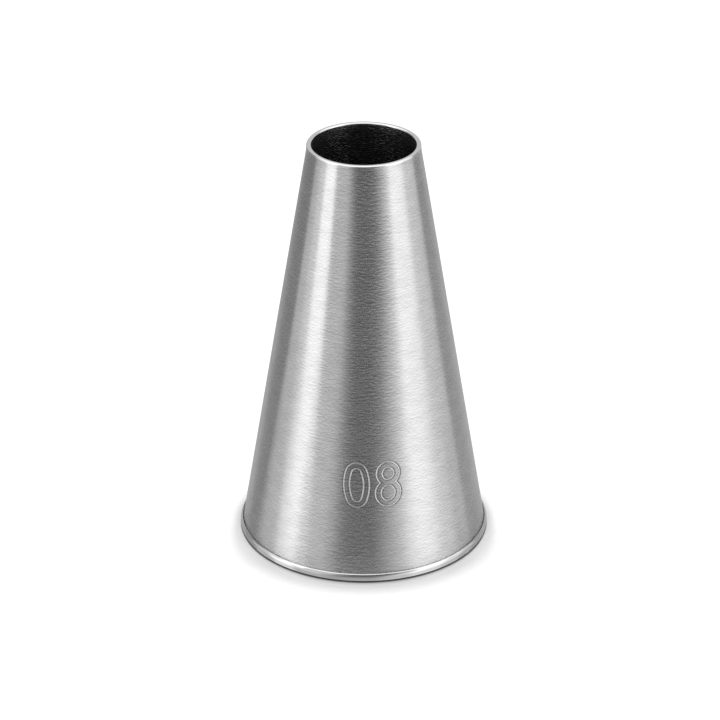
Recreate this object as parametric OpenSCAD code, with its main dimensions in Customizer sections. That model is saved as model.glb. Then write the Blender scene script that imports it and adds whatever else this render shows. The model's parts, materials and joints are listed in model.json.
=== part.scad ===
// Piping nozzle: a cone of thin sheet steel, open at both ends, in a narrow rim.
// It stands on its wide end. The axis is Z, and z = 0 is the face it stands on.

/* [Overall] */
// Height from the face that it stands on to the top of the lip
height = 30; // [20:0.5:60]
// Diameter over the base rim
base_d = 18; // [16:0.5:40]
// Outside diameter of the tip
tip_d = 8; // [5:0.5:12]
// Thickness of the sheet, square to the wall
sheet_t = 0.35; // [0.25:0.05:0.6]

/* [Tip] */
// Length of the straight collar that the cone ends in
collar_l = 0.4; // [0.3:0.1:3]
// Rounding of the lip's inner and outer edge
lip_round = 0.12; // [0.04:0.01:0.12]

/* [Base rim] */
// Height of the rim
rim_h = 0.7; // [0.55:0.05:1.5]
// How far the rim's top stands out from the wall
rim_out = 0.24; // [0.2:0.02:0.6]
// Thickness of the ledge under the wall's cut edge
ledge_t = 0.28; // [0.14:0.01:0.3]
// Radius of the fold at the rim's lower outer edge
fold_r = 0.14; // [0.06:0.01:0.2]
// Rounding of the rim's other edges
rim_round = 0.05; // [0.02:0.01:0.06]
// Width of the groove between the rim's top and the wall
groove_w = 0.06; // [0.05:0.01:0.12]
// Depth of that groove
groove_l = 0.18; // [0.08:0.01:0.24]
// Clearance between the wall and the leg closed on it
rim_fit = 0.01; // [0:0.005:0.03]

/* [Hidden] */
$fn = 180;
// Straight steps in a quarter turn of a rounded edge
corner_steps = 6;

base_r = base_d / 2;
tip_r = tip_d / 2;
bore_r = tip_r - sheet_t;
collar_z = height - collar_l;

// Lean of the wall, as radius lost for each millimetre of height
slope = (base_r - rim_out - tip_r) / (collar_z - rim_h);
// Thickness of the leaning wall measured level
level_t = sheet_t / cos(atan(slope));
// Height at which the inside of the cone meets the bore
bore_z = collar_z - (level_t - sheet_t) / slope;

// Outside radius of the conical wall at height z
function wall_r(z) = tip_r + slope * (collar_z - z);

// Points of a rounded edge about the centre (r, z), from one angle to another
function rounded(r, z, radius, from, to) = [
    for (i = [0:corner_steps])
        let (a = from + (to - from) * i / corner_steps)
        [r + radius * cos(a), z + radius * sin(a)]
];

// Section of the wall: cut square at the foot, with a rounded lip on its collar
wall_section = concat(
    [
        [wall_r(ledge_t) - level_t, ledge_t],
        [wall_r(ledge_t), ledge_t],
        [tip_r, collar_z],
    ],
    rounded(tip_r - lip_round, height - lip_round, lip_round, 0, 90),
    rounded(bore_r + lip_round, height - lip_round, lip_round, 90, 180),
    [[bore_r, bore_z]]
);

// Inner radius of the ledge, level with the inside of the wall's cut edge
ledge_r = wall_r(ledge_t) - level_t;

// Section of the rim: a ledge under the wall, a fold, and a leg up its outside
rim_section = concat(
    rounded(ledge_r + rim_round, rim_round, rim_round, 180, 270),
    rounded(base_r - fold_r, fold_r, fold_r, 270, 360),
    rounded(base_r - rim_round, rim_h - rim_round, rim_round, 0, 90),
    [
        [wall_r(rim_h) + groove_w, rim_h],
        [wall_r(rim_h - groove_l) + rim_fit, rim_h - groove_l],
        [wall_r(ledge_t) + rim_fit, ledge_t],
        [ledge_r, ledge_t],
    ]
);

// Conical wall that shapes the filling, brushed round the axis
module cone_wall() {
    color("silver")
        rotate_extrude()
            polygon(wall_section);
}

// Folded hoop that stiffens the foot and stops the nozzle in the bag's end
module base_rim() {
    color("gainsboro")
        rotate_extrude()
            polygon(rim_section);
}

cone_wall();
base_rim();
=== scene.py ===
"""Piping nozzle of brushed sheet steel, dressed and lit for a studio picture.

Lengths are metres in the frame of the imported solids: +Z is the nozzle's axis, z = 0 is
the face it stands on, and the stamped number faces -Y. An azimuth is an angle round the
axis, 0 at -Y and growing towards +X.
"""
import json
import logging
import math
from dataclasses import dataclass, field
from enum import Enum, IntEnum
from functools import reduce

import bpy
import numpy as np
from bpy.types import Material, Node, NodeSocket, NodeTree, Object
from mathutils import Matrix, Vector


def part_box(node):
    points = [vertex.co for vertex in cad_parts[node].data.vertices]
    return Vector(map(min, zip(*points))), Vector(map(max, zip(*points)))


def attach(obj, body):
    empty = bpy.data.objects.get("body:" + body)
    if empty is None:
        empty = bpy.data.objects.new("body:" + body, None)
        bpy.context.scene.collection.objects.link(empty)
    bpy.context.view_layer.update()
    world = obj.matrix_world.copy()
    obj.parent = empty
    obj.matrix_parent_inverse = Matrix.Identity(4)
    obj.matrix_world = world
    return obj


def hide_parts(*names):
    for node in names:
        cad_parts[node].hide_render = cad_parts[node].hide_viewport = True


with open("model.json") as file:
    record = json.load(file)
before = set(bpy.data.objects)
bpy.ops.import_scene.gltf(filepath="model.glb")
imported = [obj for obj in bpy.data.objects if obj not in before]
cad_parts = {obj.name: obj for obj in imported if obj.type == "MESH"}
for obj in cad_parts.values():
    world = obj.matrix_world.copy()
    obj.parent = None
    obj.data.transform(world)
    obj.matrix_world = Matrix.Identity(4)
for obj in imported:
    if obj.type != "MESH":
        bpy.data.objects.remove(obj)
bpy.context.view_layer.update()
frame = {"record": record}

MM = 0.001
AXIS_HOLE = 0.01 * MM       # radius of the hole that both floors leave at the axis
GRADING_SAMPLES = 20001     # points at which a graded step is found
LOG = logging.getLogger("nozzle")
Array = np.ndarray


def mount_radius(name: str) -> float:
    """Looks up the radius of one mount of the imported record."""
    return next(m for m in frame["record"]["mounts"] if m["name"] == name)["dims"]["r_mm"] * MM


class Zone(IntEnum):
    """Which finish a stretch of the wall's section wears; the value is its material slot."""

    OUTSIDE = 0
    LIP = 1
    INSIDE = 2


class Glyph(Enum):
    """The digits that the stamp can set, each as a stack of ovals (share of height, share of width)."""

    ZERO = ((1.0, 1.0),)
    EIGHT = ((0.46, 0.88), (0.54, 1.0))


@dataclass(frozen=True)
class NozzleSizes:
    """The nozzle's sizes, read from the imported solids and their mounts."""

    height: float
    base_radius: float
    bore_radius: float
    foot_radius: float
    ledge_height: float
    ledge_radius: float
    rim_height: float
    sheet: float = 0.35 * MM
    collar: float = 0.4 * MM

    @classmethod
    def from_frame(cls) -> "NozzleSizes":
        """Reads the sizes from the frame.

        Returns:
            NozzleSizes: the sizes that the solids have.
        """
        wall_low, wall_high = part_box("cone_wall")
        _, rim_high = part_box("base_rim")
        return cls(
            height=wall_high[2],
            base_radius=mount_radius("rim_band"),
            bore_radius=mount_radius("tip_opening"),
            foot_radius=wall_high[0],
            ledge_height=wall_low[2],
            ledge_radius=mount_radius("base_opening"),
            rim_height=rim_high[2],
        )

    @property
    def tip_radius(self) -> float:
        """Outside radius of the collar at the tip."""
        return self.bore_radius + self.sheet

    @property
    def collar_height(self) -> float:
        """Height at which the cone ends and the collar starts."""
        return self.height - self.collar

    @property
    def slope(self) -> float:
        """Radius that the wall loses for each metre of height."""
        return (self.foot_radius - self.tip_radius) / (self.collar_height - self.ledge_height)

    @property
    def level_sheet(self) -> float:
        """Thickness of the leaning wall, measured level."""
        return self.sheet * math.hypot(1.0, self.slope)

    def wall_radius(self, height: Array | float) -> Array | float:
        """Outside radius of the cone: the tip's plus slope times the height left to the collar."""
        return self.tip_radius + self.slope * (self.collar_height - height)


@dataclass
class Outline:
    """A closed path in the plane of radius and height, built from runs, bends and eases.

    It is walked up the outside and down the inside, so that the surface swept round the
    axis faces outwards. Each element leaves its last point to the next one.
    """

    points: list[Array] = field(default_factory=list)
    zones: list[Array] = field(default_factory=list)

    def _keep(self, points: Array, zone: Zone) -> None:
        """Adds points that share one zone."""
        self.points.append(points)
        self.zones.append(np.full(len(points), int(zone)))

    def run(self, start: tuple, end: tuple, shares: Array | int, zone: Zone = Zone.OUTSIDE) -> None:
        """Adds a straight run: start + share * (end - start).

        Args:
            start: radius and height at which the run starts.
            end: radius and height at which it ends.
            shares: shares from 0 up to below 1, or a count of equal steps.
            zone: the finish that it wears.
        """
        if isinstance(shares, int):
            shares = np.arange(shares) / shares
        start, end = np.array([start, end])
        self._keep(start + shares[:, None] * (end - start), zone)

    def bend(self, centre: tuple, radius: float, start: float, end: float, steps: int,
             zone: Zone = Zone.OUTSIDE) -> None:
        """Adds an arc: centre + radius * (cos a, sin a), with a from start to end in degrees."""
        angle = np.radians(start + (end - start) * np.arange(steps) / steps)
        self._keep(centre + radius * np.stack([np.cos(angle), np.sin(angle)], axis=1), zone)

    def ease(self, start: tuple, corner: tuple, end: tuple, steps: int, zone: Zone = Zone.OUTSIDE) -> None:
        """Adds a soft corner: (1-t)^2 start + 2t(1-t) corner + t^2 end.

        Args:
            start: radius and height where it leaves the first run.
            corner: where the two runs would meet.
            end: where it joins the next run.
            steps: straight steps in the corner.
            zone: the finish that it wears.
        """
        t = (np.arange(steps) / steps)[:, None]
        start, corner, end = np.array([start, corner, end])
        self._keep((1 - t) ** 2 * start + 2 * t * (1 - t) * corner + t ** 2 * end, zone)

    def arrays(self) -> tuple[Array, Array, Array]:
        """Joins the elements into the radii, heights and zones of their points, in order."""
        path = np.concatenate(self.points)
        return path[:, 0], path[:, 1], np.concatenate(self.zones)


def ramp(values: Array | float, start: float, end: float) -> Array | float:
    """Rises in a straight line from 0 at start to 1 at end, and stays there outside them."""
    return np.clip((values - start) / (end - start), 0.0, 1.0)


def graded(low: float, high: float, fine_low: float, fine_high: float, fine: float, coarse: float,
           growth: float) -> Array:
    """Spaces values finely over one range and ever wider away from it.

    The wanted step is fine + growth * distance from the fine range, at most coarse. The
    values are where the running sum of 1 / step passes whole counts.

    Args:
        low: first value.
        high: last value.
        fine_low: start of the fine range.
        fine_high: end of the fine range.
        fine: step inside the fine range.
        coarse: largest step.
        growth: how much the step grows for each unit of distance.

    Returns:
        Array: the values from low to high, both included.
    """
    samples = np.linspace(low, high, GRADING_SAMPLES)
    away = np.maximum(np.maximum(fine_low - samples, samples - fine_high), 0.0)
    step = np.minimum(coarse, fine + growth * away)
    rate = np.diff(samples) * 2.0 / (step[1:] + step[:-1])
    count = np.concatenate([[0.0], np.cumsum(rate)])
    wanted = np.linspace(0.0, count[-1], int(math.ceil(count[-1])) + 1)
    return np.interp(wanted, count, samples)


def surface(name: str, points: Array, zones: Array | None = None, closed_path: bool = True) -> Object:
    """Makes a mesh from a grid of points, turn by path, that closes round the axis.

    Args:
        name: the object's name.
        points: array of (turn, path, 3).
        zones: material slot of each path point's faces.
        closed_path: whether the path's last point joins its first.

    Returns:
        Object: the new object, linked to the scene.
    """
    turns, steps = points.shape[:2]
    index = np.arange(turns * steps).reshape(turns, steps)
    beyond = np.roll(index, -1, axis=0)
    corners = (index, beyond, np.roll(beyond, -1, axis=1), np.roll(index, -1, axis=1))
    columns = steps if closed_path else steps - 1
    quads = np.stack([corner[:, :columns] for corner in corners], axis=-1).reshape(-1, 4)
    mesh = bpy.data.meshes.new(name)
    mesh.from_pydata(points.reshape(-1, 3), [], quads)
    mesh.polygons.foreach_set("use_smooth", np.ones(len(quads), dtype=bool))
    if zones is not None:
        mesh.polygons.foreach_set("material_index", np.tile(zones[:columns], turns))
    mesh.update()
    piece = bpy.data.objects.new(name, mesh)
    bpy.context.scene.collection.objects.link(piece)
    return piece


def store(piece: Object, name: str, values: Array) -> None:
    """Keeps one number for each point of a piece, in the order of its grid."""
    attribute = piece.data.attributes.new(name, "FLOAT", "POINT")
    attribute.data.foreach_set("value", values.ravel().astype(np.float32))


def swept(azimuth: Array, radius: Array, height: Array) -> Array:
    """Carries a path round the axis: (r sin a, -r cos a, z).

    Args:
        azimuth: angles of the columns, in radians.
        radius: radii of the path, or of every point as (column, path).
        height: heights, in the same form.

    Returns:
        Array: points as (column, path, 3).
    """
    turn = azimuth[:, None]
    parts = np.broadcast_arrays(radius * np.sin(turn), -radius * np.cos(turn), height)
    return np.stack(parts, axis=-1)


@dataclass(frozen=True)
class StampedNumber:
    """A plain number whose outlines are cut into the wall as narrow grooves.

    Each digit is a stack of ovals drawn with a stroke of one width. The groove follows
    both edges of the stroke, so its depth depends on |distance to the stroke's middle
    line - half the stroke|. Core, flank and flank_reach are in half widths of the groove,
    and corner is the end arcs' radius as a share of an oval's smaller half.
    """

    digits: tuple[Glyph, ...] = (Glyph.ZERO, Glyph.EIGHT)
    azimuth: float = math.radians(4.6)
    centre_height: float = 7.2 * MM
    digit_height: float = 3.3 * MM
    digit_width: float = 1.85 * MM
    gap: float = 0.42 * MM
    stroke: float = 0.42 * MM
    groove: float = 0.12 * MM
    depth: float = 0.030 * MM
    core: float = 0.88
    flank: float = 1.35
    flank_reach: float = 0.70
    corner: float = 0.78

    @property
    def pitch(self) -> float:
        """Distance between the middles of neighbouring digits."""
        return self.digit_width + self.gap

    @property
    def reach(self) -> tuple[float, float]:
        """Half the width and half the height that the cut number covers."""
        margin = 0.5 * self.groove * (self.flank + self.flank_reach)
        return 0.5 * (self.pitch * len(self.digits) - self.gap) + margin, 0.5 * self.digit_height + margin

    def _oval(self, x: Array, y: Array, half_width: float, half_height: float) -> Array:
        """Distance to an oval made of two end arcs and two flatter side arcs.

        The side arcs' radius makes them meet the end arcs without a kink. A point belongs
        to the end arc if it lies beyond the line through both arcs' centres.

        Args:
            x: offsets across from the oval's middle.
            y: offsets up from the oval's middle.
            half_width: half the oval's width.
            half_height: half its height.

        Returns:
            Array: distance from each point to the oval's line.
        """
        end = self.corner * min(half_width, half_height)
        rise = half_height - end
        side = (half_width ** 2 + rise ** 2 - end ** 2) / (2.0 * (half_width - end))
        x, y = np.abs(x), np.abs(y)
        inset = half_width - side
        in_end = -inset * y - rise * (x - inset) > 0.0
        to_end = np.abs(np.hypot(x, y - rise) - end)
        to_side = np.abs(np.hypot(x - inset, y) - side)
        return np.where(in_end, to_end, to_side)

    def _digit(self, glyph: Glyph, x: Array, y: Array) -> Array:
        """Distance to a digit's middle line.

        Args:
            glyph: which digit.
            x: offsets across from the digit's middle.
            y: offsets up from it.

        Returns:
            Array: the least distance to any of its ovals.
        """
        line_height = self.digit_height - self.stroke
        line_width = self.digit_width - self.stroke
        top = 0.5 * line_height
        nearest = np.full(np.broadcast(x, y).shape, np.inf)
        for tall, wide in glyph.value:
            half = 0.5 * tall * line_height
            nearest = np.minimum(nearest, self._oval(x, y - (top - half), 0.5 * wide * line_width, half))
            top -= 2.0 * half
        return nearest

    def shares_at(self, azimuth: Array, height: Array, radius: Array, lean: float) -> Array:
        """Distance from the nearest groove's middle, as a share of half its width.

        Args:
            azimuth: angles of the columns.
            height: heights of the rows.
            radius: the wall's radius at each row.
            lean: the wall's angle to the axis.

        Returns:
            Array: shares as (column, row).
        """
        x = (azimuth[:, None] - self.azimuth) * radius
        y = np.broadcast_to((height - self.centre_height) / math.cos(lean), x.shape)
        first = -0.5 * self.pitch * (len(self.digits) - 1)
        lines = [self._digit(g, x - (first + i * self.pitch), y) for i, g in enumerate(self.digits)]
        return np.abs(np.min(lines, axis=0) - 0.5 * self.stroke) / (0.5 * self.groove)

    def depths(self, share: Array) -> Array:
        """Depth of the cut: depth * (1 + cos(pi * share)) / 2, and 0 beyond the groove."""
        return self.depth * 0.5 * (1.0 + np.cos(np.pi * np.clip(share, 0.0, 1.0)))

    def marks(self, share: Array) -> Array:
        """Marks of the stamp: 1 in a groove's middle, shown brighter as a painted highlight, down to -1
        where its flanks end, shown darker as painted shade, then 0.

        Args:
            share: distance from the groove's middle, as a share of half its width.

        Returns:
            Array: 1 - (share / core)^2 in the core, minus a cosine hump past it.
        """
        core = np.clip(1.0 - (share / self.core) ** 2, 0.0, 1.0)
        hump = np.clip(np.abs(share - self.flank) / self.flank_reach, 0.0, 1.0)
        return core - 0.5 * (1.0 + np.cos(np.pi * hump))


@dataclass
class Wiring:
    """Adds and joins the nodes of one node tree."""

    tree: NodeTree

    def add(self, kind: str, links: dict | None = None, values: dict | None = None,
            **settings: object) -> Node:
        """Adds a node.

        Args:
            kind: Blender's name of the node type, without "ShaderNode".
            links: sockets to join, or nodes by their first output, by input name or number.
            values: constants, by input name or number.
            settings: the node's own properties.

        Returns:
            Node: the new node.
        """
        node = self.tree.nodes.new("ShaderNode" + kind)
        for key, value in settings.items():
            setattr(node, key, value)
        for key, value in (values or {}).items():
            node.inputs[key].default_value = value
        for key, value in (links or {}).items():
            self.tree.links.new(value.outputs[0] if isinstance(value, Node) else value, node.inputs[key])
        return node

    def math(self, operation: str, *terms: object, clamp: bool = False) -> NodeSocket:
        """Adds a Math node.

        Args:
            operation: Blender's name of the operation.
            terms: sockets or numbers, in order.
            clamp: whether the result stays between 0 and 1.

        Returns:
            NodeSocket: the result.
        """
        sockets = {i: t for i, t in enumerate(terms) if isinstance(t, NodeSocket)}
        numbers = {i: t for i, t in enumerate(terms) if i not in sockets}
        return self.add("Math", sockets, numbers, operation=operation, use_clamp=clamp).outputs[0]

    def times(self, *factors: object) -> NodeSocket:
        """Adds the nodes that multiply all the factors, sockets or numbers."""
        return reduce(lambda product, factor: self.math("MULTIPLY", product, factor), factors)

    def plus(self, base: object, value: NodeSocket, gain: object) -> NodeSocket:
        """Adds the nodes of base + value * gain."""
        return self.math("ADD", base, self.times(value, gain))

    def shown(self) -> NodeSocket:
        """Adds a mask of 1 on camera, glossy and transmission rays.

        Returns:
            NodeSocket: the mask.
        """
        rays = self.add("LightPath").outputs
        seen = self.math("MAXIMUM", rays["Is Camera Ray"], rays["Is Glossy Ray"])
        return self.math("MAXIMUM", seen, rays["Is Transmission Ray"])

    def passed(self) -> NodeSocket:
        """Adds a mask of 1 on rays that already came through something clear."""
        return self.math("GREATER_THAN", self.add("LightPath").outputs["Transparent Depth"], 0.5)

    def spread(self, value: NodeSocket, low: float, high: float, to_low: float = 0.0,
               to_high: float = 1.0) -> NodeSocket:
        """Maps a value, low to to_low and high to to_high, and clamps it between them."""
        numbers = {"From Min": low, "From Max": high, "To Min": to_low, "To Max": to_high}
        return self.add("MapRange", {"Value": value}, numbers, clamp=True).outputs[0]


def blank_material(name: str) -> tuple[Material, Wiring]:
    """Starts a material that has no nodes yet.

    Args:
        name: the material's name.

    Returns:
        tuple: the material and its wiring.
    """
    material = bpy.data.materials.new(name)
    material.use_nodes = True
    material.node_tree.nodes.clear()
    return material, Wiring(material.node_tree)


def new_group(name: str, inputs: tuple[str, ...], outputs: tuple[str, ...]) -> tuple[NodeTree, Wiring]:
    """Starts a shader node group whose sockets are all plain numbers.

    Args:
        name: the group's name.
        inputs: names of its inputs.
        outputs: names of its outputs.

    Returns:
        tuple: the group and its wiring.
    """
    group = bpy.data.node_groups.new(name, "ShaderNodeTree")
    for side, sockets in (("INPUT", inputs), ("OUTPUT", outputs)):
        for socket in sockets:
            group.interface.new_socket(socket, in_out=side, socket_type="NodeSocketFloat")
    return group, Wiring(group)


@dataclass(frozen=True)
class BrushedGrain:
    """The marks of a brush turned round the axis: fine dashes, long scratches, faint patches.

    They are noise on stretched coordinates: x and y over a mark's length, and height plus
    radius over its width, so a mark stays long round the axis and thin across it on the
    wall, the lip and the rim alike. Each line has a painted shadow along one edge, where the
    noise is taken away again a little farther across. Sizes are length and width as shares
    of the group's own, the painted shadow's offset is in widths, and each range is spread
    from 0 to 1.
    """

    dash_size: tuple[float, float] = (1.0, 1.0)
    scratch_size: tuple[float, float] = (4.0, 0.8)
    patch_size: tuple[float, float] = (4.0, 6.0)
    # offset of each line's painted shadow, across the line, in widths
    painted_shadow_offset: float = 0.7
    dash_weight: float = 0.75
    scratch_weight: float = 0.45
    streak_range: tuple[float, float] = (-0.30, 0.30)
    patch_range: tuple[float, float] = (0.36, 0.64)
    # the brightest points of the dashes, which the finishes add as painted glints
    glint_range: tuple[float, float] = (0.15, 0.40)

    def group(self) -> NodeTree:
        """Builds the shader node group.

        Returns:
            NodeTree: outputs Streak (fine lines, each with a painted shadow on one edge), Patch
                (broad, faint bands) and Speck (the few brightest points, added as painted glints).
        """
        group, wire = new_group("brushed_grain", ("Length", "Width", "Seed"), ("Streak", "Patch", "Glint"))
        given = group.nodes.new("NodeGroupInput")
        x, y, z = wire.add("SeparateXYZ", {0: wire.add("TexCoord").outputs["Object"]}).outputs
        place = (x, y, wire.math("ADD", z, wire.math("SQRT", wire.plus(wire.times(x, x), y, y))))
        dash = self._lines(wire, given, place, self.dash_size)
        scratch = self._lines(wire, given, place, self.scratch_size)
        patch = self._marks(wire, given, place, self.patch_size)
        both = wire.plus(wire.times(dash, self.dash_weight), scratch, self.scratch_weight)
        results = group.nodes.new("NodeGroupOutput").inputs
        group.links.new(wire.spread(both, *self.streak_range), results["Streak"])
        group.links.new(wire.spread(patch, *self.patch_range), results["Patch"])
        group.links.new(wire.spread(dash, *self.glint_range), results["Glint"])
        return group

    def _marks(self, wire: Wiring, given: Node, place: tuple, size: tuple, shift: float = 0.0) -> NodeSocket:
        """Adds the noise of marks of one size.

        Args:
            wire: the group's wiring.
            given: the node of the group's inputs.
            place: x, y and the distance across the marks.
            size: the marks' length and width.
            shift: how far the noise is moved across the marks, in widths.

        Returns:
            NodeSocket: the noise.
        """
        x, y, across = place
        long = wire.times(given.outputs["Length"], size[0])
        thin = wire.times(given.outputs["Width"], size[1])
        seed = wire.math("ADD", given.outputs["Seed"], shift)
        spot = wire.add("CombineXYZ", {
            0: wire.math("DIVIDE", x, long),
            1: wire.math("DIVIDE", y, long),
            2: wire.math("ADD", wire.math("DIVIDE", across, thin), seed),
        })
        return wire.add("TexNoise", {"Vector": spot}, {"Scale": 1.0, "Detail": 0.0}).outputs[0]

    def _lines(self, wire: Wiring, *marks: object) -> NodeSocket:
        """Adds light lines, each with a painted shadow along one edge: the noise minus itself a little
        farther across.
        """
        return wire.math("SUBTRACT", self._marks(wire, *marks), self._marks(wire, *marks, self.painted_shadow_offset))


@dataclass(frozen=True)
class HandlingWear:
    """Faint smudges, such as fingers leave on steel: clouds of noise."""

    detail: float = 1.0
    roughness: float = 0.5
    distortion: float = 0.4
    cloud_range: tuple[float, float] = (0.35, 0.7)

    def group(self) -> NodeTree:
        """Builds the shader node group.

        Returns:
            NodeTree: output Smudge, soft clouds from 0 to 1.
        """
        group, wire = new_group("handling_wear", ("Size",), ("Smudge",))
        scale = wire.math("DIVIDE", 1.0, group.nodes.new("NodeGroupInput").outputs["Size"])
        noise = wire.add(
            "TexNoise",
            {"Vector": wire.add("TexCoord").outputs["Object"], "Scale": scale},
            {"Detail": self.detail, "Roughness": self.roughness, "Distortion": self.distortion},
        )
        results = group.nodes.new("NodeGroupOutput").inputs
        group.links.new(wire.spread(noise.outputs[0], *self.cloud_range), results["Smudge"])
        return group


@dataclass(frozen=True)
class SteelFinish:
    """How one steel surface is finished.

    The contrasts are how far streaks and patches change the colour, and rough_spread how
    far streaks change the roughness. The flecks can be gathered into two painted highlight
    bands, at an angle from the back, within a span, both in degrees. The cut values are
    those of the stamped lines, whose colour is raised as a painted highlight, and
    flank_shade is how far painted shade darkens their flanks.
    """

    name: str
    colour: float
    roughness: float
    anisotropy: float
    rough_spread: float
    bump: float
    streak_length: float
    streak_width: float
    streak_contrast: float
    patch_contrast: float
    glint_gain: float = 0.0
    seed: float = 0.0
    brush_turn: float = 0.25
    least_tint: float = 0.05
    smudge_size: float = 4.0 * MM
    smudge_share: float = 0.1
    # whether the flecks are gathered into painted highlight bands
    in_highlight_bands: bool = False
    highlight_band_middle: float = 29.0
    highlight_band_span: float = 13.0
    highlight_band_least: float = 0.20
    stamped: bool = False
    # colour of the stamped lines' core: bare metal, raised as a painted highlight
    cut_colour_and_highlight: float = 1.0
    cut_roughness: float = 0.62
    # how much darker the flanks of the stamped lines are: painted shade
    flank_shade: float = 0.55

    def material(self, grain: NodeTree, wear: NodeTree) -> Material:
        """Builds the material.

        The colour is the steel's own, times 1 + contrast * (mark - 1/2) for the streaks and
        for the patches, plus gain * speck, the brightest points added as painted glints.
        Roughness rises with streaks and smudges.

        Args:
            grain: the group of brush marks.
            wear: the group of smudges.

        Returns:
            Material: the finished material.
        """
        material, wire = blank_material(self.name)
        look = {"Length": self.streak_length, "Width": self.streak_width, "Seed": self.seed}
        marks = wire.add("Group", values=look, node_tree=grain).outputs
        smudge = wire.add("Group", values={"Size": self.smudge_size}, node_tree=wear).outputs["Smudge"]
        streak = wire.math("SUBTRACT", marks["Streak"], 0.5)
        patch = wire.math("SUBTRACT", marks["Patch"], 0.5)
        # on the inside the flecks are gathered into painted highlight bands
        glint = self._paint_highlight_bands(wire, marks["Glint"]) if self.in_highlight_bands else marks["Glint"]
        tint = wire.plus(1.0, streak, self.streak_contrast)
        tint = wire.plus(tint, patch, self.patch_contrast)
        # painted glints: the brightest points of the grain brighten the colour
        tint = wire.plus(tint, glint, self.glint_gain)
        shade = wire.times(wire.math("MAXIMUM", tint, self.least_tint), self.colour)
        rough = wire.plus(self.roughness, streak, self.rough_spread)
        rough = wire.plus(rough, smudge, self.smudge_share * self.rough_spread)
        if self.stamped:
            shade, rough = self._stamp(wire, shade, rough)
        colour = wire.add("CombineColor", {0: shade, 1: shade, 2: shade})
        bump = wire.add("Bump", {"Height": marks["Streak"]}, {"Distance": self.bump})
        around = wire.add("Tangent", direction_type="RADIAL", axis="Z")
        steel = wire.add(
            "BsdfPrincipled",
            {"Base Color": colour, "Roughness": rough, "Normal": bump, "Tangent": around},
            {"Metallic": 1.0, "Anisotropic": self.anisotropy, "Anisotropic Rotation": self.brush_turn},
        )
        wire.add("OutputMaterial", {"Surface": steel})
        return material

    def _paint_highlight_bands(self, wire: Wiring, glint: NodeSocket) -> NodeSocket:
        """Gathers the flecks in two faint bands, left and right of the back: painted highlights.

        The share that stays is least + (1 - least) * exp(-((turn - middle) / span)^2), where
        turn is the angle round the axis from the back, either way.

        Args:
            wire: the material's wiring.
            glint: the flecks, 0 to 1.

        Returns:
            NodeSocket: the flecks in their painted highlight bands.
        """
        x, y, _ = wire.add("SeparateXYZ", {0: wire.add("TexCoord").outputs["Object"]}).outputs
        turn = wire.math("ABSOLUTE", wire.math("ARCTAN2", x, y))
        off = wire.math("SUBTRACT", turn, math.radians(self.highlight_band_middle))
        off = wire.math("DIVIDE", off, math.radians(self.highlight_band_span))
        fall = wire.math("EXPONENT", wire.times(off, off, -1.0))
        return wire.times(glint, wire.plus(self.highlight_band_least, fall, 1.0 - self.highlight_band_least))

    def _stamp(self, wire: Wiring, shade: NodeSocket, rough: NodeSocket) -> tuple[NodeSocket, NodeSocket]:
        """Adds the bare, matt metal of the stamped lines, its colour raised as a painted highlight, and
        painted shade beside them.

        The wall's "stamp" attribute is 1 in the middle of a line and -1 on its flanks.

        Args:
            wire: the material's wiring.
            shade: the colour without the stamp.
            rough: the roughness without the stamp.

        Returns:
            tuple: the colour and the roughness with the stamp.
        """
        stamp = wire.add("Attribute", attribute_name="stamp").outputs["Fac"]
        core = wire.math("MAXIMUM", stamp, 0.0)
        flank = wire.math("MAXIMUM", wire.times(stamp, -1.0), 0.0)
        # painted shade: the colour darkens on the flanks beside the stamped lines
        shade = wire.times(shade, wire.plus(1.0, flank, -self.flank_shade))
        # the core: bare, matt metal, its colour raised as a painted highlight
        shade = wire.add("Mix", {"Factor": core, "A": shade}, {"B": self.cut_colour_and_highlight}).outputs["Result"]
        rough = wire.add("Mix", {"Factor": core, "A": rough}, {"B": self.cut_roughness}).outputs["Result"]
        return shade, rough


OUTSIDE_FINISH = SteelFinish(
    name="wall_brushed", colour=0.66, roughness=0.28, anisotropy=0.98, rough_spread=0.13, bump=0.001 * MM,
    streak_length=0.28 * MM, streak_width=0.09 * MM, streak_contrast=0.34, patch_contrast=0.06,
    glint_gain=0.07, stamped=True,
)
LIP_FINISH = SteelFinish(
    name="lip_polished", colour=0.88, roughness=0.12, anisotropy=0.3, rough_spread=0.04, bump=0.0005 * MM,
    streak_length=1.5 * MM, streak_width=0.05 * MM, streak_contrast=0.06, patch_contrast=0.04, seed=7.0,
)
# The inside's colour is painted shade: the same steel, set far darker than the outside's to stand in for the
# dim bore; its flecks are painted glints in painted highlight bands.
INSIDE_FINISH_AND_SHADE = SteelFinish(
    name="wall_inside_and_shade", colour=0.165, roughness=0.34, anisotropy=0.6, rough_spread=0.10, bump=0.002 * MM,
    streak_length=0.22 * MM, streak_width=0.05 * MM, streak_contrast=1.4, patch_contrast=0.1, seed=13.0,
    glint_gain=14.0, in_highlight_bands=True,
)
RIM_FINISH = SteelFinish(
    name="rim_turned", colour=0.82, roughness=0.12, anisotropy=0.6, rough_spread=0.05, bump=0.0005 * MM,
    streak_length=1.2 * MM, streak_width=0.05 * MM, streak_contrast=0.16, patch_contrast=0.05, seed=21.0,
)


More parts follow.
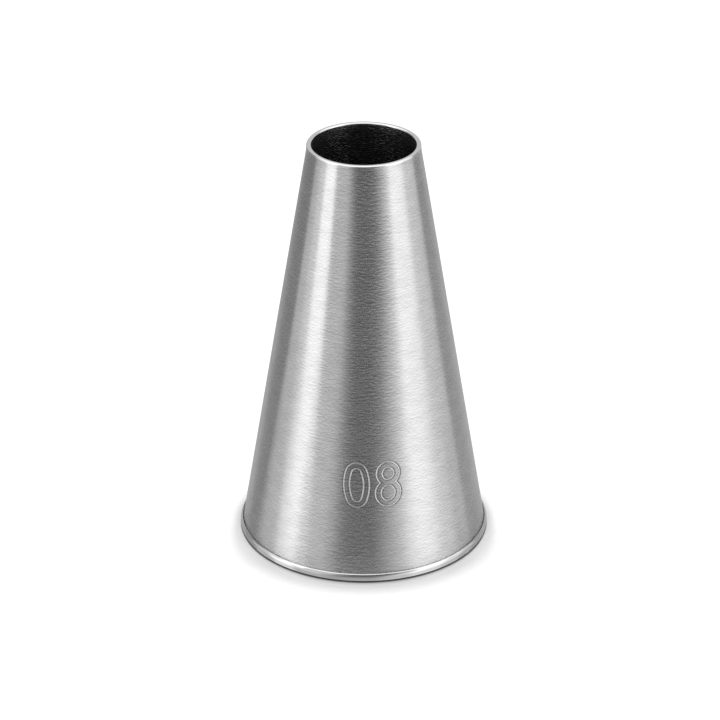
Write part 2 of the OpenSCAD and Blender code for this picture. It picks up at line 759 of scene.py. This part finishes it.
@dataclass
class ConeWall:
    """The conical sheet wall with its collar, lip and stamped number.

    The knee is the soft corner between cone and collar, outside and inside.
    """

    sizes: NozzleSizes
    number: StampedNumber = StampedNumber()
    number_step: float = 0.025 * MM
    column_step: float = math.radians(2.4)
    row_step: float = 1.2 * MM
    growth: float = 0.12
    lip_round: float = 0.12 * MM
    foot_round: float = 0.02 * MM
    knee: float = 0.18 * MM
    foot_steps: int = 3
    knee_steps: int = 4
    lip_steps: int = 8
    inside_steps: int = 24
    flat_steps: int = 2

    def _rows(self) -> Array:
        """Shares of the outside run, fine over the number.

        Returns:
            Array: shares from 0 up to below 1.
        """
        low, high = self.sizes.ledge_height + self.foot_round, self.sizes.collar_height - self.knee
        _, half = self.number.reach
        middle = self.number.centre_height
        heights = graded(low, high, middle - half, middle + half,
                         self.number_step, self.row_step, self.growth)
        return ((heights - low) / (high - low))[:-1]

    def _columns(self) -> Array:
        """Azimuths of the columns, fine over the number.

        Returns:
            Array: angles for one turn, in radians.
        """
        half, half_height = self.number.reach
        radius = self.sizes.wall_radius(self.number.centre_height + half_height)
        middle = self.number.azimuth
        angles = graded(middle - math.pi, middle + math.pi, middle - half / radius, middle + half / radius,
                        self.number_step / radius, self.column_step, self.growth)
        return angles[:-1]

    def outline(self) -> Outline:
        """Draws the wall's section: foot, outside, collar, lip, bore and inside.

        Returns:
            Outline: the closed section.
        """
        sizes, knee, flat = self.sizes, self.knee, self.flat_steps
        foot, rounding, top, lip = sizes.ledge_height, self.foot_round, sizes.height, self.lip_round
        tip, bore, collar = sizes.tip_radius, sizes.bore_radius, sizes.collar_height
        inner_foot, outer_foot = sizes.wall_radius(foot) - sizes.level_sheet, sizes.wall_radius(foot)
        inner_knee = collar - (sizes.level_sheet - sizes.sheet) / sizes.slope
        low = (sizes.wall_radius(foot + rounding), foot + rounding)
        high = (sizes.wall_radius(collar - knee), collar - knee)
        inner_high = (sizes.wall_radius(inner_knee - knee) - sizes.level_sheet, inner_knee - knee)
        path = Outline()
        path.bend((inner_foot + rounding, low[1]), rounding, 180, 270, self.foot_steps, Zone.INSIDE)
        path.run((inner_foot + rounding, foot), (outer_foot - rounding, foot), flat, Zone.INSIDE)
        path.bend((outer_foot - rounding, low[1]), rounding, 270, 360, self.foot_steps)
        path.run(low, high, self._rows())
        path.ease(high, (tip, collar), (tip, collar + knee), self.knee_steps)
        path.run((tip, collar + knee), (tip, top - lip), flat)
        path.bend((tip - lip, top - lip), lip, 0, 90, self.lip_steps, Zone.LIP)
        path.run((tip - lip, top), (bore + lip, top), flat, Zone.LIP)
        path.bend((bore + lip, top - lip), lip, 90, 180, self.lip_steps, Zone.LIP)
        path.run((bore, top - lip), (bore, inner_knee + knee), flat, Zone.INSIDE)
        path.ease((bore, inner_knee + knee), (bore, inner_knee), inner_high, self.knee_steps, Zone.INSIDE)
        path.run(inner_high, (inner_foot, low[1]), self.inside_steps, Zone.INSIDE)
        return path

    def build(self, finishes: list[Material]) -> Object:
        """Sweeps the section round the axis, cuts the number and dresses the wall.

        Args:
            finishes: the materials of the zones, in their order.

        Returns:
            Object: the finished wall.
        """
        radius, height, zones = self.outline().arrays()
        azimuth = self._columns()
        lean = math.atan(self.sizes.slope)
        share = self.number.shares_at(azimuth, height, radius, lean)
        share = np.where(zones == Zone.OUTSIDE, share, np.inf)
        cut = self.number.depths(share)
        points = swept(azimuth, radius - cut * math.cos(lean), height - cut * math.sin(lean))
        piece = surface("wall_of_the_cone", points, zones)
        store(piece, "stamp", self.number.marks(share))
        for finish in finishes:
            piece.data.materials.append(finish)
        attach(piece, "root")
        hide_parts("cone_wall")
        return piece


@dataclass
class BaseRim:
    """The narrow hoop folded round the wall's foot.

    The swell angles are the band's turn above and below level, in degrees.
    """

    sizes: NozzleSizes
    fold: float = 0.18 * MM
    shoulder: float = 0.10 * MM
    edge: float = 0.05 * MM
    swell_above: float = 22.0
    swell_below: float = 6.0
    crest_drop: float = 0.065 * MM
    groove_width: float = 0.11 * MM
    groove_depth: float = 0.12 * MM
    clearance: float = 0.01 * MM
    columns: int = 360
    edge_steps: int = 5
    sole_steps: int = 4
    fold_steps: int = 12
    band_steps: int = 10
    flat_steps: int = 2
    groove_steps: int = 6
    hidden_steps: int = 3

    def outline(self) -> Outline:
        """Draws the rim's section: ledge, fold, band, top edge and groove.

        The band swells: it is one large arc that runs into the fold below and the
        shoulder above, and it turns through one angle above level and another below.
        Its radius R follows from the height left between them:
        height - fold - shoulder = (R - fold) * sin(below) + (R - shoulder) * sin(above).

        Returns:
            Outline: the closed section.
        """
        sizes, edge, low, high = self.sizes, self.edge, self.fold, self.shoulder
        top, base, inside = sizes.rim_height - self.crest_drop, sizes.base_radius, sizes.ledge_radius
        ledge = (inside, sizes.ledge_height)
        below, above = math.radians(self.swell_below), math.radians(self.swell_above)
        rise = top - low - high + low * math.sin(below) + high * math.sin(above)
        band = rise / (math.sin(below) + math.sin(above))
        middle = (base - band, low + (band - low) * math.sin(below))
        fold = (middle[0] + (band - low) * math.cos(below), low)
        shoulder = (middle[0] + (band - high) * math.cos(above), top - high)
        crest = (sizes.wall_radius(top) + self.groove_width, top)
        bottom = (sizes.wall_radius(top - self.groove_depth) + self.clearance, top - self.groove_depth)
        seat = (sizes.wall_radius(sizes.ledge_height) + self.clearance, sizes.ledge_height)
        path = Outline()
        path.bend((inside + edge, edge), edge, 180, 270, self.edge_steps)
        path.run((inside + edge, 0.0), (fold[0], 0.0), self.sole_steps)
        path.bend(fold, low, 270, 360 - self.swell_below, self.fold_steps)
        path.bend(middle, band, -self.swell_below, self.swell_above, self.band_steps)
        path.bend(shoulder, high, self.swell_above, 90, self.fold_steps)
        path.run((shoulder[0], top), crest, self.flat_steps)
        path.run(crest, bottom, self.groove_steps)
        path.run(bottom, seat, self.hidden_steps)
        path.run(seat, ledge, self.hidden_steps)
        path.run(ledge, (inside, edge), self.flat_steps)
        return path

    def build(self, finish: Material) -> Object:
        """Sweeps the section round the axis and dresses the rim.

        Args:
            finish: the rim's material.

        Returns:
            Object: the finished rim.
        """
        radius, height, _ = self.outline().arrays()
        azimuth = 2.0 * math.pi * np.arange(self.columns) / self.columns
        piece = surface("rim_of_the_base", swept(azimuth, radius, height))
        piece.data.materials.append(finish)
        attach(piece, "root")
        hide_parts("base_rim")
        return piece


@dataclass(frozen=True)
class TentCard:
    """A lighter or darker card hung in the light tent, from floor to top.

    Azimuth, half width, feather and lean are in degrees.
    """

    azimuth: float
    half_width: float
    feather: float
    tone: float
    lean: float = 0.0

    def cover(self, azimuth: Array, nearness: float) -> Array:
        """How much of the cloth the card hides at each azimuth.

        It is 1 inside its half width and falls to 0 over the feather along a smooth
        step, 3t^2 - 2t^3. A leaning card's middle moves by lean * nearness.

        Args:
            azimuth: angles in degrees.
            nearness: how near the foot they are, as LightTent.nearness gives it.

        Returns:
            Array: cover from 0 to 1.
        """
        middle = self.azimuth + self.lean * nearness
        away = np.abs((azimuth - middle + 180.0) % 360.0 - 180.0)
        t = np.clip((self.half_width + self.feather - away) / self.feather, 0.0, 1.0)
        return t * t * (3.0 - 2.0 * t)


def tones(azimuth: Array, cloth: float, cards: tuple[TentCard, ...], nearness: float = 0.0) -> Array:
    """Tone at each azimuth: the cloth's, with every card laid over it in turn.

    Args:
        azimuth: angles in degrees.
        cloth: tone where no card hangs.
        cards: the cards, each over the ones before it.
        nearness: how near the foot they are, as LightTent.nearness gives it.

    Returns:
        Array: the tones.
    """
    tone = np.full(azimuth.shape, cloth)
    for card in cards:
        cover = card.cover(azimuth, nearness)
        tone = tone * (1.0 - cover) + card.tone * cover
    return tone


@dataclass
class LightTent:
    """A round cloth tent with a roof and with cards in it, which only reflections see.

    A card at azimuth 2t shows on the wall at azimuth t. The tent's floor is black in the
    shade under the foot. It takes a glow and a share of the cards' tones near the foot, and
    their whole tones from far_start out. The back card hangs clear of the floor, where the
    lip's top shows it. Column steps are in degrees.
    """

    foot_radius: float
    radius: float = 0.25
    height: float = 0.40
    cards_top: float = 0.19
    roof_start: float = 0.26
    cloth: float = 0.87
    roof: float = 1.15
    shade_start: float = 8.99 * MM
    shade_end: float = 9.12 * MM
    near_end: float = 9.6 * MM
    far_start: float = 12.0 * MM
    near_share: float = 0.47
    near_glow: float = 0.17
    floor_gap: float = 0.02 * MM
    column_step: float = 0.5
    shade_rings: int = 8
    far_rings: int = 24
    looks: int = 361
    lean_middle: float = 50.0 * MM
    lean_span: float = 35.0 * MM
    lean_far: float = -1.0
    lean_near: float = 0.4
    wash: float = 0.223
    wash_start: float = 120.0 * MM
    wash_end: float = 20.0 * MM
    cards: tuple[TentCard, ...] = (
        TentCard(183.0, 17.2, 8.9, 0.435, -1.4),
        TentCard(155.1, 12.1, 14.0, 0.473, 6.0),
        TentCard(-138.3, 5.7, 19.1, 0.248, 4.8),
        TentCard(-4.2, 12.7, 36.4, 0.122, -8.9),
        TentCard(-49.1, 11.4, 2.6, 0.620, -8.7),
        TentCard(60.5, 10.2, 11.8, 1.381, -3.8),
        TentCard(-75.9, 9.2, 4.1, 1.477, -9.6),
        TentCard(108.9, 5.6, 2.5, 0.495, -9.7),
        TentCard(-105.6, 10.0, 6.3, 0.633, -0.2),
        TentCard(129.4, 13.8, 2.0, 0.363, 2.7),
        TentCard(-128.5, 12.4, 1.5, 0.252, -8.2),
    )
    near_cards: tuple[TentCard, ...] = (TentCard(0.0, 8.0, 16.0, 0.34),)
    back_card: TentCard = TentCard(180.0, 35.0, 20.0, 0.57)
    back_start: float = 0.02
    back_end: float = 0.07

    def mirrored(self, azimuth: Array, out: float) -> Array:
        """Direction in which a reflection that lands on the tent's floor is travelling.

        A look along +Y that meets the foot's circle at azimuth t leaves it in direction
        2t. After d = sqrt(out^2 - r^2 sin^2 t) - r cos t it is out from the axis, at
        azimuth t + atan2(d sin t, r + d cos t). That rises with t, so it is turned round
        by interpolation.

        Args:
            azimuth: angles of the floor's points in degrees, from -180 to 180.
            out: their distance from the axis.

        Returns:
            Array: directions in degrees.
        """
        t = np.radians(np.linspace(-90.0, 90.0, self.looks))
        r = min(self.foot_radius, out)
        d = np.sqrt(out ** 2 - (r * np.sin(t)) ** 2) - r * np.cos(t)
        lands = t + np.arctan2(d * np.sin(t), r + d * np.cos(t))
        return np.interp(np.radians(azimuth), lands, np.degrees(2.0 * t))

    def nearness(self, out: float) -> float:
        """Nearness to the foot, (lean_middle - out) / lean_span, kept between two limits."""
        return float(np.clip((self.lean_middle - out) / self.lean_span, self.lean_far, self.lean_near))

    def cast(self, azimuth: Array, out: float) -> Array:
        """Tones that the cards cast at a distance; towards the foot they fade to tone ^ (1 - wash)."""
        tone = tones(self.mirrored(azimuth, out), self.cloth, self.cards, self.nearness(out))
        return tone ** (1.0 - self.wash * ramp(out, self.wash_start, self.wash_end))

    def build(self) -> Object:
        """Builds the tent: floor, wall and roof, with its tones as an attribute.

        Returns:
            Object: the tent, hidden from all but glossy rays.
        """
        azimuth = np.arange(-180.0, 180.0, self.column_step)
        shade = np.linspace(self.shade_start, self.shade_end, self.shade_rings)
        far = np.geomspace(self.near_end, self.radius, self.far_rings)
        floor = np.concatenate([[AXIS_HOLE], shade, far])
        up = np.array([self.back_start, self.back_end, self.cards_top, self.roof_start, self.height])
        out = np.concatenate([floor, np.full(up.shape, self.radius), [floor[0]]])
        height = np.concatenate([np.full(floor.shape, self.floor_gap), up, [self.height]])
        lit = ramp(out, self.shade_start, self.shade_end)
        near = 1.0 - ramp(out, self.near_end, self.far_start)
        roof = ramp(height, self.cards_top, self.roof_start)
        cast = np.stack([self.cast(azimuth, radius) for radius in out], axis=1)
        glow = tones(azimuth, self.near_glow, self.near_cards)[:, None]
        tone = cast * (1.0 - near) + near * (glow + self.near_share * cast)
        back = self.back_card.cover(azimuth, 0.0)[:, None] * ramp(height, self.back_start, self.back_end)
        tone = tone * (1.0 - back) + self.back_card.tone * back
        tone = np.where(height > self.floor_gap, 1.0, lit) * (tone * (1.0 - roof) + roof * self.roof)
        tent = surface("light_tent", swept(np.radians(azimuth), out, height)[:, ::-1], closed_path=False)
        store(tent, "tone", tone[:, ::-1])
        tent.data.materials.append(self._material())
        for rays in ("camera", "diffuse", "transmission", "shadow"):
            setattr(tent, "visible_" + rays, False)
        return tent

    def _material(self) -> Material:
        """Light of the attribute's strength, gone for rays that came up through the floor.

        Returns:
            Material: the cloth.
        """
        material, wire = blank_material("tent_cloth")
        tone = wire.add("Attribute", attribute_name="tone").outputs["Fac"]
        glow = wire.add("Emission", {"Strength": tone})
        clear = wire.add("BsdfTransparent")
        mixed = wire.add("MixShader", {0: wire.passed(), 1: glow, 2: clear})
        wire.add("OutputMaterial", {"Surface": mixed})
        material.cycles.emission_sampling = "NONE"
        return material


@dataclass
class Studio:
    """White world, white floor, light tent, one soft lamp overhead and the camera.

    The floor's shade and its dark line of contact, a painted shadow, have a front width, in
    front of the nozzle, and a side width, beside and behind it. The floor's step is in
    degrees.
    """

    foot_radius: float
    ambient: float = 0.42
    floor_radius: float = 0.6
    floor_ring: float = 0.03
    floor_step: float = 3.0
    floor_colour: float = 0.9
    floor_glow: float = 0.42
    far_start: float = 0.1
    far_gain: float = 1.7
    shade_front: float = 2.9 * MM
    shade_side: float = 1.0 * MM
    shade_turn: float = 6.0 * MM
    # widths, turn and tone of the painted contact shadow in the floor's colour and glow
    contact_front: float = 0.42 * MM
    contact_side: float = 0.02 * MM
    contact_turn: float = 3.0 * MM
    painted_contact_shadow_tone: float = 0.6
    shade_full: float = 0.83
    shade_none: float = 0.965
    shade_fall: float = 1.25
    shade_samples: int = 4
    lamp_distance: float = 0.7
    lamp_elevation: float = math.radians(84.0)
    lamp_size: float = 0.12
    lamp_power: float = 1.75
    camera_distance: float = 238.6 * MM
    camera_elevation: float = math.radians(26.98)
    aim_height: float = 13.16 * MM
    lens: float = 166.7
    clip_start: float = 0.01
    picture: int = 720
    axis_column: float = 363.8

    def build_world(self) -> None:
        """Makes the world white where it is seen, and a little dimmer as a light."""
        world = bpy.data.worlds.new("white_studio")
        world.use_nodes = True
        world.node_tree.nodes.clear()
        wire = Wiring(world.node_tree)
        strength = wire.spread(wire.shown(), 0.0, 1.0, self.ambient, 1.0)
        white = wire.add("Background", {"Strength": strength}, {"Color": (1.0, 1.0, 1.0, 1.0)})
        wire.add("OutputWorld", {"Surface": white})
        bpy.context.scene.world = world

    def build_floor(self) -> Object:
        """Makes the floor, a disc that is see-through from below.

        Its white is a diffuse colour plus a glow on the rays that show it. Both darken
        in the narrow gap round the nozzle's foot, widest in front: the diffuse colour as a
        painted shadow, the glow by that painted shadow and by ambient occlusion. The glow rises
        far out, where the lamp's light thins.

        Returns:
            Object: the floor.
        """
        radii = np.array([AXIS_HOLE, self.foot_radius, self.floor_ring, self.far_start, self.floor_radius])
        azimuth = np.radians(np.arange(0.0, 360.0, self.floor_step))
        floor = surface("floor", swept(azimuth, radii, np.zeros(len(radii)))[:, ::-1], closed_path=False)
        material, wire = blank_material("floor_white")
        place = wire.add("TexCoord").outputs["Object"]
        away = wire.add("VectorMath", {0: place}, operation="LENGTH").outputs["Value"]
        depth = wire.add("SeparateXYZ", {0: place}).outputs[1]
        reach = wire.spread(depth, -self.shade_turn, 0.0, self.shade_front, self.shade_side)
        front, turn = -self.foot_radius, -self.contact_turn
        contact = wire.spread(depth, front, turn, self.contact_front, self.contact_side)
        # painted shadow: within the contact width of the foot, the floor's colour darkens
        past = wire.math("SUBTRACT", away, self.foot_radius)
        outside = wire.math("SQRT", wire.math("DIVIDE", past, contact, clamp=True))
        colour = wire.spread(outside, 0.0, 1.0, self.painted_contact_shadow_tone * self.floor_colour, self.floor_colour)
        sky = wire.add("AmbientOcclusion", {"Distance": reach}, samples=self.shade_samples).outputs["AO"]
        sky = wire.math("POWER", wire.spread(sky, self.shade_full, self.shade_none), self.shade_fall)
        far = wire.spread(away, self.far_start, self.floor_radius, 1.0, self.far_gain)
        # the glow takes the painted shadow too, besides the ambient occlusion
        glow = wire.times(outside, wire.shown(), self.floor_glow, sky, far)
        matt = wire.add("BsdfDiffuse", {"Color": colour})
        shine = wire.add("Emission", {"Strength": glow})
        lit = wire.add("AddShader", {0: matt, 1: shine})
        below = wire.math("MAXIMUM", wire.add("NewGeometry").outputs["Backfacing"], wire.passed())
        clear = wire.add("BsdfTransparent")
        mixed = wire.add("MixShader", {0: below, 1: lit, 2: clear})
        wire.add("OutputMaterial", {"Surface": mixed})
        material.cycles.emission_sampling = "NONE"
        floor.data.materials.append(material)
        return floor

    def build_lamp(self) -> None:
        """Hangs one soft lamp high behind the nozzle, out of its reflections."""
        light = bpy.data.lights.new("soft_lamp", "AREA")
        light.shape = "DISK"
        light.size = self.lamp_size
        light.energy = self.lamp_power
        lamp = bpy.data.objects.new("soft_lamp", light)
        away = Vector((0.0, math.cos(self.lamp_elevation), math.sin(self.lamp_elevation)))
        lamp.location = away * self.lamp_distance
        lamp.rotation_euler = away.to_track_quat("Z", "Y").to_euler()
        lamp.visible_camera = False
        lamp.visible_glossy = False
        bpy.context.scene.collection.objects.link(lamp)

    def build_camera(self) -> None:
        """Sets the camera at the photograph's angle, aimed at the axis."""
        data = bpy.data.cameras.new("photo_camera")
        data.lens = self.lens
        data.shift_x = -(self.axis_column - 0.5 * self.picture) / self.picture
        data.clip_start = self.clip_start
        camera = bpy.data.objects.new("photo_camera", data)
        back = Vector((0.0, -math.cos(self.camera_elevation), math.sin(self.camera_elevation)))
        camera.location = Vector((0.0, 0.0, self.aim_height)) + back * self.camera_distance
        camera.rotation_euler = (-back).to_track_quat("-Z", "Y").to_euler()
        bpy.context.scene.collection.objects.link(camera)
        bpy.context.scene.camera = camera

    def build(self) -> None:
        """Builds the whole studio."""
        self.build_world()
        self.build_floor()
        LightTent(self.foot_radius).build()
        self.build_lamp()
        self.build_camera()
        bpy.context.scene.view_settings.view_transform = "Standard"


def main() -> None:
    """Builds the nozzle and its studio."""
    logging.basicConfig(level=logging.INFO, format="%(name)s: %(message)s")
    sizes = NozzleSizes.from_frame()
    Studio(foot_radius=sizes.base_radius).build()
    grain, wear = BrushedGrain().group(), HandlingWear().group()
    zones = [finish.material(grain, wear) for finish in (OUTSIDE_FINISH, LIP_FINISH, INSIDE_FINISH_AND_SHADE)]
    for piece in (ConeWall(sizes).build(zones), BaseRim(sizes).build(RIM_FINISH.material(grain, wear))):
        LOG.info("%s: %d faces", piece.name, len(piece.data.polygons))


if __name__ == "__main__":
    main()
